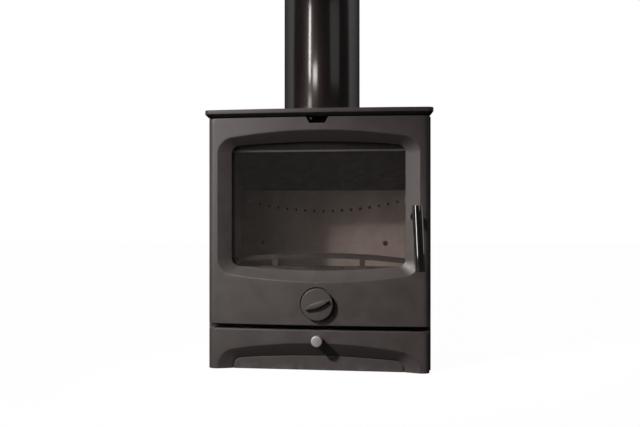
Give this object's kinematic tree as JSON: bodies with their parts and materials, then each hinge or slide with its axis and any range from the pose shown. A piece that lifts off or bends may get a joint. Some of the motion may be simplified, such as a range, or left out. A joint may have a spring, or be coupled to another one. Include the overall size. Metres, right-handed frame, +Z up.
{
  "type": "wood stove",
  "caption": "Compact box wood stove on a plinth: bowed cast door with an arched window and bar handle, round air dial, thick top plate, short flue pipe.",
  "frame": {"origin": "on the floor, under the middle of the overall width and depth, door handle included", "axes": "+Z up, -Y out of the door, +X to the viewer's right when facing the door"},
  "size_m": [0.4146, 0.3892, 0.7499],
  "materials": {
    "painted_iron": "satin dark warm grey stove paint",
    "flue_enamel": "glossy dark enamel",
    "bright_chrome": "polished",
    "satin_knob": "satin",
    "plain_steel": "plain rolled steel",
    "raw_iron": "matte, heat darkened",
    "firebrick": "rough refractory board, sooted",
    "stove_glass": "clear, slightly smoked",
    "rope": "woven glass rope"
  },
  "bodies": {
    "stove_body": {"right_side_panel": "painted_iron", "left_side_panel": "painted_iron", "back_panel": "painted_iron", "base_plate": "raw_iron", "front_frame": "raw_iron", "latch_keeper": "plain_steel", "lower_hinge_bracket": "raw_iron", "upper_hinge_bracket": "raw_iron", "top_plate": "painted_iron", "flue_spigot": "raw_iron", "spigot_screw_1": "plain_steel", "spigot_screw_2": "plain_steel", "spigot_screw_3": "plain_steel", "flue_pipe": "flue_enamel", "plinth_front": "painted_iron", "outlet_cover": "painted_iron", "outlet_cover_screw_1": "plain_steel", "outlet_cover_screw_2": "plain_steel", "outlet_cover_screw_3": "plain_steel", "rear_heat_shield": "painted_iron", "shield_stud_1": "plain_steel", "shield_stud_2": "plain_steel", "shield_stud_3": "plain_steel", "shield_stud_4": "plain_steel", "grate": "raw_iron", "right_firebrick": "firebrick", "left_firebrick": "firebrick", "back_liner": "firebrick", "left_liner_screw": "plain_steel", "right_liner_screw": "plain_steel", "rear_air_box": "raw_iron", "baffle_plate": "raw_iron", "airwash_deflector": "plain_steel", "log_guard": "raw_iron", "ash_pan": "plain_steel"},
    "door": {"door": "painted_iron", "door_glass": "stove_glass", "glass_seal": "rope", "lower_left_glass_clip": "plain_steel", "lower_left_clip_screw": "plain_steel", "upper_left_glass_clip": "plain_steel", "upper_left_clip_screw": "plain_steel", "lower_right_glass_clip": "plain_steel", "lower_right_clip_screw": "plain_steel", "upper_right_glass_clip": "plain_steel", "upper_right_clip_screw": "plain_steel", "door_rope_seal": "rope"},
    "handle": {"handle_bar": "bright_chrome", "handle_spindle": "raw_iron", "latch_tongue": "plain_steel"},
    "dial": {"air_dial": "painted_iron", "dial_spindle": "plain_steel", "air_valve_plate": "plain_steel"},
    "airwash": {"airwash_slider": "plain_steel"},
    "lower_air": {"control_knob": "satin_knob", "control_rod": "plain_steel", "control_shutter": "plain_steel"}
  },
  "joints": [
    {"name": "door_swing", "type": "hinge", "parent": "stove_body", "child": "door", "pos_m": [-0.1968, -0.11835, 0.2724], "axis": [0, 0, -1], "range_deg": [0, 110]},
    {"name": "handle_turn", "type": "hinge", "parent": "door", "child": "handle", "pos_m": [0.1728, -0.14835, 0.2815], "axis": [0, -1, 0], "range_deg": [0, 80]},
    {"name": "air_dial_turn", "type": "hinge", "parent": "door", "child": "dial", "pos_m": [0, -0.14835, 0.1221], "axis": [0, -1, 0], "range_deg": [-21, 69]},
    {"name": "airwash_slide", "type": "slide", "parent": "stove_body", "child": "airwash", "axis": [1, 0, 0], "range_m": [0, 0.02]},
    {"name": "lower_air_pull", "type": "slide", "parent": "stove_body", "child": "lower_air", "axis": [0, -1, 0], "range_m": [0, 0.025]}
  ]
}
